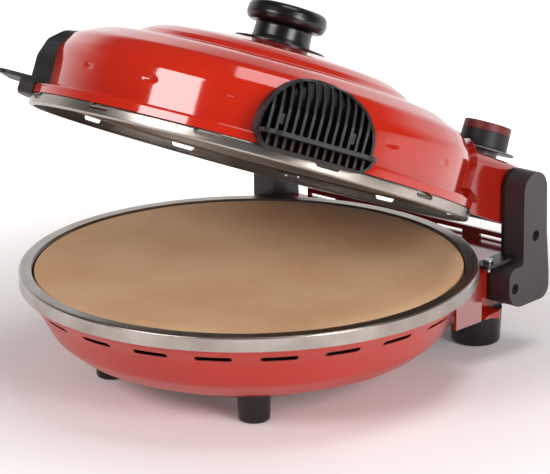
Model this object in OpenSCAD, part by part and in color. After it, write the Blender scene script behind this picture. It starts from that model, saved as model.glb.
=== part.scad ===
/* [Lid opening] */
// Angle that the lid stands open in the stored pose
lid_open = 24; // [0:1:60]
// Height of the hinge axis above the table
pivot_z = 125; // [123:0.5:128]
// Distance of the hinge axis behind the middle of the baking stone
pivot_y = 177.5; // [175:0.5:179]

/* [Baking stone] */
// Diameter of the baking stone
stone_d = 325; // [300:1:326]
// Thickness of the baking stone
stone_t = 12; // [8:0.5:14]
// How far the stone lies below the top of the base rim
stone_drop = 1.2; // [0:0.1:3]

/* [Base rim ring] */
// Outside diameter of the base rim ring
rim_d = 348; // [346:1:356]
// Width of the rim's flat top
rim_w = 9.5; // [8.5:0.1:10]
// Height of the top of the base rim above the table
rim_top = 86.7; // [85:0.1:88]
// Height of the rim's outer band
rim_band = 10.8; // [8:0.1:12]
// Sheet thickness of the bare steel pieces
sheet_t = 1; // [0.8:0.1:1.2]

/* [Base bowl] */
// Height of the bowl's flat floor above the table
bowl_floor_z = 9.5; // [8:0.5:12]
// Radius of the bowl's flat floor
bowl_floor_r = 88; // [84:1:92]
// Radius where the bowl's sloping bottom ends
bowl_knee_r = 137; // [134:0.5:140]
// Height where the bowl's sloping bottom ends
bowl_knee_z = 29.5; // [27:0.5:32]
// Radius of the foot of the bowl's steep wall
bowl_wall_r = 150.5; // [148:0.5:153]
// Height of the foot of the bowl's steep wall
bowl_wall_z = 41; // [39:0.5:43]
// Radius of the foot of the bowl's shoulder
bowl_shoulder_r = 162.3; // [161:0.1:164]
// Height of the foot of the bowl's shoulder
bowl_shoulder_z = 63; // [61:0.5:65]
// Wall of the painted steel shells
shell_t = 1.2; // [1:0.1:1.6]
// Number of vent slots that a full turn of the bowl would hold
bowl_slots = 22; // [16:1:26]
// Length of a bowl vent slot
bowl_slot_w = 27; // [18:1:30]
// Height of a bowl vent slot
bowl_slot_h = 4.2; // [3:0.1:5]

/* [Feet] */
// Diameter of a front foot
front_foot_d = 25.6; // [20:0.1:30]
// Sideways distance of a front foot from the middle
front_foot_x = 72.5; // [60:0.5:78]
// Distance of the front feet in front of the middle
front_foot_y = 77.2; // [64:0.1:84]
// Diameter of a rear foot
rear_foot_d = 41.2; // [34:0.1:42]
// Sideways distance of a rear foot from the middle
rear_foot_x = 90.5; // [70:0.5:92]
// Distance of the rear feet behind the middle
rear_foot_y = 164.5; // [162:0.5:166]
// Diameter of a small screw
screw_d = 4; // [3:0.1:5]

/* [Base housing] */
// Half width of the housing's lower box
lower_box_x = 104; // [100:0.5:106]
// Half width between the hinge arms
between_arms_x = 116.5; // [114:0.5:118]
// Half width of the deck in front of the hinge arms
deck_x = 131; // [128:0.5:136]
// Distance behind the middle where the notch for the arm's barrel starts
notch_y = 107; // [100:1:116]
// Height of the deck beside the bowl
deck_z = 77.3; // [76:0.1:79]
// Height of the housing's underside
base_box_z = 30; // [28:0.5:34]
// Height of the skirt's lower edge where it leaves the bowl
skirt_z = 58; // [52:0.5:62]
// Distance behind the middle where the skirt leaves the bowl
skirt_y = 39; // [30:0.5:50]
// Height of the top of the low wall behind the rim
wall_top = 81.5; // [80:0.1:86]
// Distance of the housing's back behind the middle
housing_back = 192; // [190:0.5:193.5]
// Wall of the housings
housing_t = 2.4; // [2:0.1:3]
// Length of a vent slot in the low wall
wall_slot_w = 26.6; // [15:0.1:32]
// Height of a vent slot in the low wall
wall_slot_h = 2.6; // [2:0.1:3.4]
// Spacing of the vent slots in the low wall
wall_slot_pitch = 43.7; // [38:0.1:44]
// Sideways place of the deck screws
deck_screw_x = 123; // [121:0.5:126]
// Place of the deck screws behind the middle
deck_screw_y = 137; // [134:0.5:139]

/* [Hinge arms] */
// Thickness of a hinge arm
arm_t = 21.8; // [18:0.1:26]
// Height of the arm's top
arm_top = 142.4; // [140:0.1:146]
// Distance of the arm's front edge behind the middle
arm_front = 161.5; // [160:0.5:163]
// Distance of the arm's upper back edge behind the middle
arm_back = 190.5; // [189:0.5:193]
// Distance of the arm's lower back edge behind the middle
arm_heel = 194.6; // [193:0.1:197]
// Height of the arm's underside
arm_low = 38.6; // [37:0.1:41]
// Distance of the arm's toe behind the middle
toe_front = 144; // [143.8:0.1:146]
// Height of the arm's upper screw
arm_screw_z = 91.5; // [88:0.5:96]
// Height of the top of the arm's toe
toe_top = 71.2; // [68:0.1:73]
// Thickness of the arm's inner plate
arm_plate_t = 3; // [2.4:0.1:4]
// Wall of the arm's moulding
arm_wall = 3; // [2.4:0.1:4]
// Diameter of the recesses of the arm's screws
recess_d = 8.4; // [7.5:0.1:9.5]
// Diameter of the hinge pin
pin_d = 8; // [6:0.5:9]
// Radial clearance of the pin in its bush
pin_clear = 0.05; // [0.02:0.01:0.1]

/* [Lid rim ring and dome] */
// Outside diameter of the lid rim ring
lid_rim_d = 340; // [338:1:342]
// Gap between the closed lid's rim and the base rim
rim_gap = 1.6; // [1:0.1:2]
// Height of the lid rim's band
lid_band = 9.1; // [8.5:0.1:10]
// Height of the painted flange above the steel band
flange_h = 7; // [5:0.1:8]
// Radius of the dome's upright wall
dome_wall_r = 160.2; // [159:0.1:162]
// Height of the dome's rounded shoulder
shoulder_z = 161.5; // [159:0.5:164]
// Radius of the raised middle of the dome
crown_r = 104; // [98:0.5:108]
// Height of the top of the raised middle
crown_z = 179; // [176:0.5:182]
// Number of slots that a full turn of the lid rim would hold
rim_slots = 12; // [8:1:16]
// Length of a lid rim slot
rim_slot_w = 19; // [12:0.5:24]
// Height of a lid rim slot
rim_slot_h = 5.2; // [3:0.1:5.6]
// Angle from the lid's front to the nearest lid rim slot
rim_slot_turn = 1.4; // [0:0.1:5]
// Number of pressed marks that a full turn of the dome would hold
dimples = 16; // [8:1:20]
// Height of the pressed marks above the painted flange
dimple_up = 18.6; // [14:0.1:24]

/* [Top knob] */
// Diameter of the top knob's disc
knob_d = 61.6; // [50:0.1:66]
// Diameter of the top knob's neck
knob_neck_d = 44.4; // [34:0.1:46]
// Height of the top knob above its flange
knob_h = 29.5; // [24:0.1:34]
// Diameter of the thin flange under the knob
knob_flange_d = 70; // [64:0.5:74]

/* [Side grips] */
// Angle of a side grip from the front
grip_angle = 54; // [50:1:58]
// Half width of a side grip
grip_half_w = 43.5; // [36:0.5:45]
// How far the grip's upper face stands out from the dome's wall
grip_out = 13.3; // [12:0.1:16]
// How far the grip's lower block stands out from the lid's rim
grip_low_out = 11; // [9:0.1:14]
// How far the finger tongue stands out from the grip's lower block
tongue_out = 14; // [9:0.5:18]
// Thickness of the finger tongue
tongue_t = 3; // [2.4:0.1:4]
// Number of louvre bars
louvres = 13; // [9:1:15]
// Thickness of a louvre bar
louvre_t = 1.9; // [1.4:0.1:2.6]

/* [Lid housing] */
// Side gap between the lid housing and a hinge arm
side_gap = 1.3; // [1:0.1:2]
// Height of the lid housing's underside with the lid closed
lid_box_z = 96.5; // [96:0.5:98]
// Height of the lid housing's top with the lid closed
lid_box_top = 143.5; // [143:0.5:147]
// Distance of the lid housing's back with the lid closed
lid_box_back = 187; // [186:0.5:188]

/* [Timer] */
// Sideways place of the timer knob
timer_x = 83.5; // [70:0.5:84]
// Place of the timer knob behind the middle with the lid closed
timer_y = 168.5; // [167:0.5:169]
// Diameter of the timer knob
timer_d = 38.5; // [34:0.1:44]
// Height of the timer knob's black body
timer_body_h = 12.8; // [10:0.1:16]
// Height of the timer knob's coloured cap
timer_cap_h = 6.5; // [5:0.1:9]
// Diameter of the timer shaft
shaft_d = 6; // [5:0.5:8]
// Diameter of the thin dial plate
dial_d = 51; // [44:0.5:54]
// Height of the dial plate above the lid housing
dial_up = 4.8; // [3:0.1:6]

/* [Heaters] */
// Diameter of a tubular heater
heater_d = 6.6; // [6:0.1:8]
// Loop radius of the lower heater
low_loop_r = 112; // [95:1:120]
// Height of the lower heater
low_heater_z = 59; // [58:0.5:62]
// Loop radius of the upper heater
up_loop_r = 104; // [90:1:112]
// Height of the upper heater with the lid closed
up_heater_z = 124; // [122:0.5:127]
// Sideways distance of a heater's ends from the middle
heater_leg_x = 29; // [24:0.5:36]

/* [Hidden] */
$fn = 96;
fit_gap = 0.3;
over = 1;

rim_r = rim_d / 2;
stone_r = stone_d / 2;
stone_top = rim_top - stone_drop;
stone_z = stone_top - stone_t;
pan_flange_z = rim_top - sheet_t;
bowl_flange_z = pan_flange_z - sheet_t;
pan_r = rim_r - rim_w + 0.4;
pan_ledge_r = stone_r - 7;
pan_floor_r = pan_ledge_r - 7;
pan_floor_z = low_heater_z - heater_d / 2 - 7;
bowl_lip_r = rim_r - sheet_t - 0.4;
bowl_slot_z = bowl_shoulder_z + 4.3;
skirt_low_y = 150;
foot_top = base_box_z - housing_t;
well_z = toe_top + fit_gap + housing_t;

arm_x = between_arms_x + arm_t;
plate_x = between_arms_x + arm_plate_t;
barrel_r = (toe_top - arm_low) / 2;
barrel_y = toe_front + barrel_r;
barrel_z = arm_low + barrel_r;
arm_screw_at = [[pivot_y - 0.6, arm_screw_z], [toe_front + 7.4, barrel_z - 0.3]];
recess_depth = 9;
pin_end_x = arm_x - arm_wall;

lid_rim_r = lid_rim_d / 2;
lid_low = rim_top + rim_gap;
band_top = lid_low + lid_band;
flange_top = band_top + flange_h;
rim_slot_z = band_top + 0.4 - rim_slot_h / 2;
liner_r = dome_wall_r - 5;
liner_roof_z = up_heater_z + heater_d / 2 + 12.5;
knob_base_z = crown_z + 1.6;
knob_top = knob_base_z + knob_h;
tongue_z = flange_top + 1.2;
grip_mid_z = tongue_z + 6.6;
grip_r = dome_wall_r + grip_out;
grip_low_r = lid_rim_r + grip_low_out;
tongue_r = grip_low_r + tongue_out;
grip_low = band_top - 2.4;
grip_top = shoulder_z - 8.5;
grip_wall = 2.2;
lid_box_x = between_arms_x - side_gap;
lid_box_in_x = lid_box_x - housing_t;
bracket_t = 2;
bracket_x = lid_box_in_x - bracket_t;
bracket_back = lid_box_back - housing_t - 1;
bracket_foot_y = dome_wall_r - 28;
bracket_foot_z = lid_box_z + housing_t;
bracket_foot_w = 16;
bush_r = pin_d / 2 + 2.5;
pin_start_x = bracket_x - 2.4;
dial_t = 1.5;
knob_gap = 0.3;
timer_low = lid_box_top + dial_up + dial_t + knob_gap;
timer_body_top = timer_low + timer_body_h;
timer_top = timer_body_top + timer_cap_h;
timer_can_r = 14;
bracket_gap = 1.5;
timer_can_top = lid_box_top - housing_t - bracket_gap;
timer_can_h = 24;
timer_neck_r = 10;
timer_neck_h = 7;
shaft_low = timer_can_top - 16;

// The middle of the stone lies this far from the middle of the whole open model
back_reach = pivot_y + (timer_y + timer_d / 2 - pivot_y) * cos(lid_open)
    + (timer_top - pivot_z) * sin(lid_open);
ring_y = (rim_r - back_reach) / 2;

// Outline helpers: a path holds [x, y, corner radius]
function unit(v) = v / norm(v);
function flat(p) = [p[0], p[1]];
function swing(a) = a > 180 ? a - 360 : a < -180 ? a + 360 : a;
function corner(a, b, c, r) =
    let(u = unit(a - b), v = unit(c - b), half = acos(max(-1, min(1, u * v))) / 2)
    r <= 0 || half > 89 ? [b] :
    let(
        reach = min(r / tan(half), 0.49 * norm(a - b), 0.49 * norm(c - b)),
        radius = reach * tan(half),
        mid = b + unit(u + v) * radius / sin(half),
        first = b + u * reach - mid,
        last = b + v * reach - mid,
        start = atan2(first[1], first[0]),
        sweep = swing(atan2(last[1], last[0]) - start),
        steps = max(2, ceil(abs(sweep) / 15))
    )
    [for (i = [0:steps]) mid + radius * [cos(start + sweep * i / steps),
        sin(start + sweep * i / steps)]];
function open_path(path) =
    let(last = len(path) - 1)
    [for (i = [0:last]) each i == 0 || i == last ? [flat(path[i])]
        : corner(flat(path[i - 1]), flat(path[i]), flat(path[i + 1]), path[i][2])];
function loop(path) =
    let(n = len(path))
    [for (i = [0:n - 1]) each corner(flat(path[(i + n - 1) % n]), flat(path[i]),
        flat(path[(i + 1) % n]), path[i][2])];
// Points beside an open line, at distance t to its left
function beside(line, t) =
    let(last = len(line) - 1)
    [for (i = [0:last])
        let(
            a = unit(line[max(i, 1)] - line[max(i, 1) - 1]),
            b = unit(line[min(i + 1, last)] - line[min(i, last - 1)]),
            m = unit(a + b)
        )
        line[i] + t / (m * a) * [-m[1], m[0]]];
function backward(line) = [for (i = [len(line) - 1:-1:0]) line[i]];
function sheet(line, t) = concat(line, backward(beside(line, t)));

module turned(outline) {
    rotate_extrude() polygon(outline);
}

module base_part() {
    translate([0, ring_y, 0]) children();
}

module lid_part() {
    translate([0, ring_y + pivot_y, pivot_z])
        rotate([-lid_open, 0, 0])
        translate([0, -pivot_y, -pivot_z]) children();
}

module both_sides() {
    children();
    mirror([1, 0, 0]) children();
}

// Turns its children from the +X direction to an angle that is counted from the front
module from_front(angle) {
    rotate([0, 0, angle - 90]) children();
}

// A cylinder along +X, from x = from to x = to
module bar_x(from, to, r, y, z) {
    translate([from, y, z]) rotate([0, 90, 0]) cylinder(r = r, h = to - from);
}

// A slot through a round wall, with round ends
module slot_cut(w, h, r, z, depth) {
    translate([r - depth, 0, z]) rotate([0, 90, 0]) {
        translate([-h / 2, -(w - h) / 2, 0]) cube([h, w - h, 2 * depth]);
        for (side = [-1, 1]) {
            translate([0, side * (w - h) / 2, 0]) cylinder(d = h, h = 2 * depth);
        }
    }
}

// A pan-head screw, its head's underside at the origin and its shank along +Z
module screw(shank, d = screw_d, head_h = 2.2) {
    translate([0, 0, -head_h]) cylinder(d = 1.9 * d, h = head_h);
    cylinder(d = d, h = shank);
}

// A prism along X whose section in Y and Z is given
module across(outline, half_w) {
    translate([-half_w, 0, 0]) rotate([90, 0, 90]) linear_extrude(2 * half_w) polygon(outline);
}

// An insulated lead swept through a chain of points, with square ends
module lead(points, d) {
    sides = 8;
    last = len(points) - 1;
    rings = [for (i = [0:last])
        let(
            t = unit(points[min(i + 1, last)] - points[max(i - 1, 0)]),
            u = unit(cross(t, [1, 0.3, 0.2])),
            v = cross(t, u)
        )
        each [for (k = [0:sides - 1])
            points[i] + d / 2 * (cos(360 * k / sides) * u + sin(360 * k / sides) * v)]];
    walls = [for (i = [0:last - 1]) for (k = [0:sides - 1])
        let(a = i * sides + k, b = i * sides + (k + 1) % sides)
        each [[a, b, b + sides], [a, b + sides, a + sides]]];
    ends = [for (k = [1:sides - 2])
        each [[0, k + 1, k], [last * sides, last * sides + k, last * sides + k + 1]]];
    polyhedron(rings, concat(walls, ends));
}

// ---- Base ----

bowl_line = open_path([
    [0, bowl_floor_z, 0],
    [bowl_floor_r, bowl_floor_z, 30],
    [bowl_knee_r, bowl_knee_z, 20],
    [bowl_wall_r, bowl_wall_z, 16],
    [bowl_shoulder_r, bowl_shoulder_z, 4],
    [bowl_lip_r - 3.4, bowl_slot_z + 4, 3],
    [bowl_lip_r, rim_top - rim_band, 2],
    [bowl_lip_r, bowl_flange_z, 1.5],
    [pan_r + 1.4, bowl_flange_z, 0]
]);

// The space that the bowl fills, up to its rim, for what fits round it
module bowl_space() {
    turned(concat(bowl_line, [[0, bowl_flange_z]]));
}

module heater_legs_cut(z) {
    for (side = [-1, 1]) {
        translate([side * heater_leg_x, low_loop_r, z]) rotate([-90, 0, 0])
            cylinder(d = heater_d + 2, h = rim_r);
    }
}

module base_bowl() {
    color("firebrick") base_part() difference() {
        union() {
            turned(sheet(bowl_line, shell_t));
            both_sides() deck_tab();
        }
        for (i = [-6:6]) {
            from_front(i * 360 / bowl_slots)
                slot_cut(bowl_slot_w, bowl_slot_h, bowl_shoulder_r + 3, bowl_slot_z, 14);
        }
        heater_legs_cut(low_heater_z);
        both_sides() front_foot_axis() cylinder(d = screw_d, h = rim_top);
    }
}

// The steel tab under the deck that takes the deck screw
module deck_tab() {
    tab_t = 1.6;
    inner_x = deck_screw_x - screw_d;
    outer_x = deck_x - housing_t - 2;
    difference() {
        translate([inner_x, 0, deck_z - housing_t - tab_t])
            cube([outer_x - inner_x, toe_front - housing_t - 1, tab_t]);
        cylinder(r = bowl_lip_r - 3, h = rim_top);
        deck_screw_axis() cylinder(d = screw_d, h = rim_top);
    }
}

module base_rim_ring() {
    lip_r = rim_r - rim_w;
    line = open_path([
        [rim_r, rim_top - rim_band, 0],
        [rim_r, rim_top, 1.6],
        [lip_r, rim_top, 0]
    ]);
    color("silver") base_part() turned(sheet(line, sheet_t));
}

// The plan of the housing at its deck, for x over zero and then mirrored
function both_halves(half) = concat(half, [for (p = backward(half)) [-p[0], p[1], p[2]]]);

skirt_x = sqrt(pow(rim_r - 1, 2) - pow(skirt_y, 2));
function deck_plan(t) = [
    [skirt_x - t, skirt_y, 0],
    [deck_x - t, toe_front - 16, 14],
    [deck_x - t, toe_front - fit_gap - t, 3],
    [between_arms_x - t, toe_front - fit_gap - t, 0],
    [between_arms_x - t, housing_back - t, 2]
];
function box_plan(t) = [
    [lower_box_x - t, skirt_y, 0],
    [lower_box_x - t, housing_back - t, 2]
];

module plan_block(plan, low, high) {
    translate([0, 0, low]) linear_extrude(high - low) polygon(loop(both_halves(plan)));
}

// The skirt stands above a plane that falls from the bowl to the arms
module above_skirt_edge() {
    intersection() {
        children();
        across([
            [skirt_y, skirt_z],
            [skirt_low_y, base_box_z],
            [housing_back + over, base_box_z],
            [housing_back + over, rim_top + over],
            [skirt_y, rim_top + over]
        ], rim_r);
    }
}

// The wings are open above their lower lip, where the arms' barrels show
module barrel_notch(t) {
    both_sides() translate([between_arms_x - t, notch_y - t, arm_low - fit_gap - t])
        cube([rim_r, rim_r, rim_top]);
}

// The housing's box and its wings in front of the arms, drawn in by t
module housing_block(t) {
    above_skirt_edge() difference() {
        plan_block(deck_plan(t), base_box_z - over, deck_z - t);
        translate([-rim_r, toe_front - fit_gap - t, 0]) cube([2 * rim_r, rim_r, rim_top]);
        barrel_notch(t);
    }
    plan_block(box_plan(t), base_box_z - (t > 0 ? over : 0), well_z - t);
}

module base_housing() {
    color("firebrick") base_part() difference() {
        union() {
            housing_block(0);
            // the floor between the arms, over their barrels
            difference() {
                plan_block(deck_plan(0), well_z - housing_t, well_z);
                barrel_notch(0);
            }
            // the low wall along the back
            intersection() {
                plan_block(box_plan(0), well_z - over, wall_top);
                translate([-rim_r, housing_back - housing_t, 0])
                    cube([2 * rim_r, rim_r, rim_top]);
            }
        }
        housing_block(housing_t);
        // the bowl and the rim stand in front
        turned(concat([for (p = bowl_line) p + [fit_gap, 0]], [[0, rim_top]]));
        translate([0, 0, rim_top - rim_band - fit_gap]) cylinder(r = rim_r + fit_gap, h = rim_top);
        for (i = [-2:2]) {
            translate([i * wall_slot_pitch - wall_slot_w / 2, housing_back - housing_t - over,
                well_z + 1.1]) cube([wall_slot_w, housing_t + 2 * over, wall_slot_h]);
        }
        gland_axis() cylinder(r = gland_r, h = 40, center = true);
        both_sides() bar_x(lower_box_x - 10, lower_box_x + 10, screw_d / 2,
            arm_screw_at[1][0], arm_screw_at[1][1]);
    }
}

module deck_screw_axis() {
    translate([deck_screw_x, deck_screw_y, 0]) children();
}

module front_foot_axis() {
    translate([front_foot_x, -front_foot_y, 0]) children();
}

module rear_foot_axis() {
    translate([rear_foot_x, rear_foot_y, 0]) children();
}

module base_bottom_cover() {
    color("dimgray") base_part() difference() {
        plan_block(box_plan(0), foot_top, base_box_z);
        translate([0, 0, -over]) cylinder(r = bowl_knee_r + 3, h = rim_top);
        translate([-rim_r, 0, 0]) cube([2 * rim_r, 100, rim_top]);
        both_sides() rear_foot_axis() cylinder(d = screw_d, h = rim_top);
        for (x = [-70:10:70]) {
            translate([x - 2, 158, 0]) cube([4, 24, rim_top]);
        }
    }
}

foot_bore = 2.1 * screw_d;
module front_feet() {
    color("black") base_part() both_sides() difference() {
        front_foot_axis() difference() {
            turned(loop([
                [0, 0, 0],
                [front_foot_d / 2 - 1, 0, 2],
                [front_foot_d / 2, bowl_knee_z, 0],
                [0, bowl_knee_z, 0]
            ]));
            translate([0, 0, -over]) cylinder(d = foot_bore, h = 6 + over);
            cylinder(d = screw_d, h = rim_top);
        }
        bowl_space();
    }
}

module rear_feet() {
    color("black") base_part() both_sides() rear_foot_axis() difference() {
        turned(loop([
            [0, 0, 0],
            [rear_foot_d / 2 - 1.6, 0, 2],
            [rear_foot_d / 2, foot_top, 0],
            [0, foot_top, 0]
        ]));
        translate([0, 0, -over]) cylinder(d = foot_bore, h = 8 + over);
        cylinder(d = screw_d, h = rim_top);
    }
}

module foot_screws() {
    color("silver") base_part() both_sides() {
        front_foot_axis() translate([0, 0, 6]) screw(18);
        rear_foot_axis() translate([0, 0, 8]) screw(base_box_z - 4);
    }
}

module deck_screws() {
    color("silver") base_part() both_sides() deck_screw_axis()
        translate([0, 0, deck_z]) mirror([0, 0, 1]) screw(8);
}

// ---- Hinge arms ----

arm_path = [
    [arm_front, arm_top, 14.4],
    [arm_back, arm_top, 14.4],
    [arm_back + 1, (arm_top + arm_low) / 2, 0],
    [arm_heel, arm_low + 20, 30],
    [arm_heel, arm_low, 13],
    [toe_front, arm_low, barrel_r],
    [toe_front, toe_top, barrel_r],
    [arm_front, toe_top, 3]
];

module arm_block(from, to, inset) {
    line = loop(arm_path);
    closed = concat([line[len(line) - 1]], line, [line[0]]);
    inner = beside(closed, -inset);
    outline = inset > 0 ? [for (i = [1:len(line)]) inner[i]] : line;
    translate([from, 0, 0]) rotate([90, 0, 90]) linear_extrude(to - from) polygon(outline);
}

module arm_shell() {
    difference() {
        arm_block(plate_x, arm_x, 0);
        difference() {
            arm_block(plate_x - over, arm_x - arm_wall, arm_wall);
            bar_x(plate_x - over, arm_x, pin_d / 2 + 4, pivot_y, pivot_z);
            for (at = arm_screw_at) {
                bar_x(plate_x - over, arm_x, recess_d / 2 + 2.4, at[0], at[1]);
            }
        }
        bar_x(plate_x - over, pin_end_x, pin_d / 2, pivot_y, pivot_z);
        for (at = arm_screw_at) {
            bar_x(plate_x - over, arm_x, screw_d / 2, at[0], at[1]);
            bar_x(arm_x - recess_depth, arm_x + over, recess_d / 2, at[0], at[1]);
        }
    }
}

// The lug over the toe that the deck screw holds down on the bowl's tab
module deck_lug() {
    lug_front = notch_y + 19;
    difference() {
        union() {
            translate([between_arms_x, lug_front, deck_z - housing_t])
                cube([deck_x - between_arms_x, arm_front - fit_gap - lug_front, housing_t]);
            translate([between_arms_x, toe_front + 6, barrel_z])
                cube([arm_plate_t, arm_front - toe_front - 2, deck_z - barrel_z]);
        }
        cylinder(r = rim_r + fit_gap, h = rim_top);
        deck_screw_axis() cylinder(d = screw_d, h = rim_top);
    }
}

module arm_plate() {
    difference() {
        union() {
            arm_block(between_arms_x, plate_x, 0);
            bar_x(lower_box_x, plate_x - 0.5, barrel_r, barrel_y, barrel_z);
            deck_lug();
        }
        bar_x(lower_box_x - over, arm_x, pin_d / 2, pivot_y, pivot_z);
        for (at = arm_screw_at) {
            bar_x(lower_box_x - over, arm_x, screw_d / 2, at[0], at[1]);
        }
    }
}

module arm_right() {
    color("dimgray") base_part() arm_shell();
}

module arm_left() {
    color("dimgray") base_part() mirror([1, 0, 0]) arm_shell();
}

module arm_plate_right() {
    color("black") base_part() arm_plate();
}

module arm_plate_left() {
    color("black") base_part() mirror([1, 0, 0]) arm_plate();
}

module arm_screws() {
    head_x = arm_x - recess_depth;
    color("silver") base_part() both_sides() {
        translate([head_x, arm_screw_at[0][0], arm_screw_at[0][1]]) rotate([0, -90, 0])
            screw(head_x - between_arms_x);
        translate([head_x, arm_screw_at[1][0], arm_screw_at[1][1]]) rotate([0, -90, 0])
            screw(head_x - lower_box_x + housing_t + 4);
    }
}

module hinge_pins() {
    color("silver") base_part() both_sides()
        bar_x(pin_start_x, pin_end_x, pin_d / 2, pivot_y, pivot_z);
}

// ---- Baking stone, lower heater and what carries them ----

pan_line = open_path([
    [0, pan_floor_z, 0],
    [pan_floor_r, pan_floor_z, 8],
    [pan_ledge_r, stone_z - sheet_t, 2],
    [pan_r, stone_z - sheet_t, 1.5],
    [pan_r, bowl_flange_z, 1],
    [bowl_lip_r - 1, bowl_flange_z, 0]
]);

module lower_reflector() {
    color("lightgray") base_part() difference() {
        turned(sheet(pan_line, sheet_t));
        heater_legs_cut(low_heater_z);
        for (i = [0:7]) {
            rotate([0, 0, 22.5 + 45 * i]) translate([70, 0, 0]) cylinder(d = 8, h = rim_top);
        }
    }
}

// A heater: an open loop whose two cold ends run straight back through the walls
module heater(loop_r, z, end_y) {
    past_leg = heater_d / 2 + 0.5;
    gap_angle = asin((heater_leg_x - past_leg) / loop_r);
    leg_y = sqrt(pow(loop_r, 2) - pow(heater_leg_x, 2));
    translate([0, 0, z]) union() {
        rotate([0, 0, 90 + gap_angle]) rotate_extrude(angle = 360 - 2 * gap_angle)
            translate([loop_r, 0]) circle(d = heater_d);
        both_sides() {
            translate([heater_leg_x, leg_y, 0]) rotate([-90, 0, 0])
                cylinder(d = heater_d - 0.6, h = end_y - leg_y);
            translate([heater_leg_x, end_y, 0]) rotate([-90, 0, 0])
                cylinder(d = heater_d / 2, h = 6);
        }
    }
}

low_leg_y = housing_back - housing_t - 18;
up_leg_y = lid_box_back - housing_t - 14;

module lower_heater() {
    color("darkslategray") base_part() heater(low_loop_r, low_heater_z, low_leg_y);
}

// A clip that holds the heater to a sheet whose face is at z = face_z
module heater_clip(loop_r, heater_z, face_z) {
    low = min(face_z, heater_z);
    high = max(face_z, heater_z);
    translate([loop_r - 6, -3, low]) cube([1.4, 6, high - low]);
    translate([loop_r + 4.6, -3, low]) cube([1.4, 6, high - low]);
    translate([loop_r - 6, -3, heater_z + (face_z > heater_z ? -heater_d / 2 - 1.4 : heater_d / 2)])
        cube([12, 6, 1.4]);
    for (x = [loop_r - 6, loop_r + 4.6]) {
        translate([x, -3, heater_z - (face_z > heater_z ? heater_d / 2 + 0.5 : 0)])
            cube([1.4, 6, heater_d / 2 + 0.5]);
    }
}

module lower_heater_clips() {
    color("silver") base_part() for (a = [-120, -40, 40, 120]) {
        from_front(a) heater_clip(low_loop_r, low_heater_z, pan_floor_z + sheet_t);
    }
}

module baking_stone() {
    color("burlywood") base_part() translate([0, 0, stone_z])
        turned(loop([
            [0, 0, 0],
            [stone_r, 0, 1],
            [stone_r, stone_t, 1.4],
            [0, stone_t, 0]
        ]));
}

// ---- Electric pieces of the base ----

gland_r = 8;
module gland_axis() {
    translate([62, housing_back, base_box_z + 20]) rotate([90, 0, 0]) children();
}

module cord_gland() {
    color("black") base_part() gland_axis() difference() {
        union() {
            cylinder(r = gland_r, h = 8);
            translate([0, 0, -4]) cylinder(r = gland_r + 2.5, h = 4);
            translate([0, 0, housing_t]) cylinder(r = gland_r + 1.5, h = 2);
        }
        cylinder(r = 4, h = 60, center = true);
    }
}

block_w = 46;
block_z = base_box_z;
module terminal_block() {
    color("ivory") base_part() difference() {
        translate([-block_w / 2, low_leg_y - 6, block_z]) cube([block_w, 16, 14]);
        for (x = [-15, 0, 15]) {
            translate([x, low_leg_y + 2, block_z + 6]) cylinder(d = 5, h = 20);
        }
    }
}

module base_wiring() {
    end = low_leg_y + 6;
    for_block = low_leg_y + 2;
    color("white") base_part() both_sides()
        lead([
            [heater_leg_x, end, low_heater_z],
            [heater_leg_x, end + 1, low_heater_z],
            [heater_leg_x - 5, end + 4, low_heater_z - 2],
            [17, for_block + 4, block_z + 20],
            [15, for_block, block_z + 14],
            [15, for_block, block_z + 6]
        ], 2.4);
}

module thermal_cutout() {
    color("gainsboro") base_part() translate([0, 30, pan_floor_z]) mirror([0, 0, 1]) {
        cylinder(d = 16, h = 6);
        cylinder(d = 24, h = 1.2);
    }
}

// ---- Lid ----

dome_line = open_path([
    [lid_rim_r - 0.3, band_top, 0],
    [lid_rim_r - 0.3, flange_top, 1.6],
    [dome_wall_r, flange_top, 1],
    [dome_wall_r, shoulder_z - 25.5, 18],
    [dome_wall_r - 9.8, shoulder_z - 12.5, 16],
    [dome_wall_r - 29, shoulder_z - 3.3, 30],
    [crown_r + 3, shoulder_z, 3],
    [crown_r - 2, shoulder_z + 4.2, 6],
    [crown_r - 12, crown_z - 8.2, 30],
    [knob_flange_d / 2 + 8, crown_z - 1, 60],
    [knob_flange_d / 2, crown_z, 0],
    [0, crown_z, 0]
]);

// The closed space that the dome fills, for what fits round it
module dome_space() {
    turned(concat([[0, band_top - over], [lid_rim_r - 0.3, band_top - over]], dome_line));
}

module lid_dome() {
    color("firebrick") lid_part() difference() {
        turned(sheet(dome_line, shell_t));
        for (i = [-5:5]) {
            from_front(9 + i * 360 / dimples) dimple();
        }
        // the flange stops at the housing, whose inside is open to the dome
        difference() {
            translate([-lid_box_x, 0, 0]) cube([2 * lid_box_x, 2 * lid_rim_r, flange_top + 0.01]);
            cylinder(r = dome_wall_r, h = flange_top);
        }
        for (side = [-1, 1]) {
            translate([side * heater_leg_x, up_loop_r, up_heater_z]) rotate([-90, 0, 0])
                cylinder(d = heater_d + 2, h = 90);
            for (u = [-26, 26]) {
                from_front(side * grip_angle) translate([0, u, grip_mid_z + 6])
                    rotate([0, 90, 0]) cylinder(d = screw_d, h = lid_rim_r);
            }
        }
        cylinder(d = screw_d + 1, h = crown_z + over);
    }
}

// A small oval mark pressed into the dome's wall
module dimple() {
    w = 9;
    translate([dome_wall_r + 2.2, -w / 2, flange_top + dimple_up]) {
        rotate([-90, 0, 0]) cylinder(d = 5.6, h = w, $fn = 32);
        sphere(d = 5.6, $fn = 32);
        translate([0, w, 0]) sphere(d = 5.6, $fn = 32);
    }
}

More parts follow.
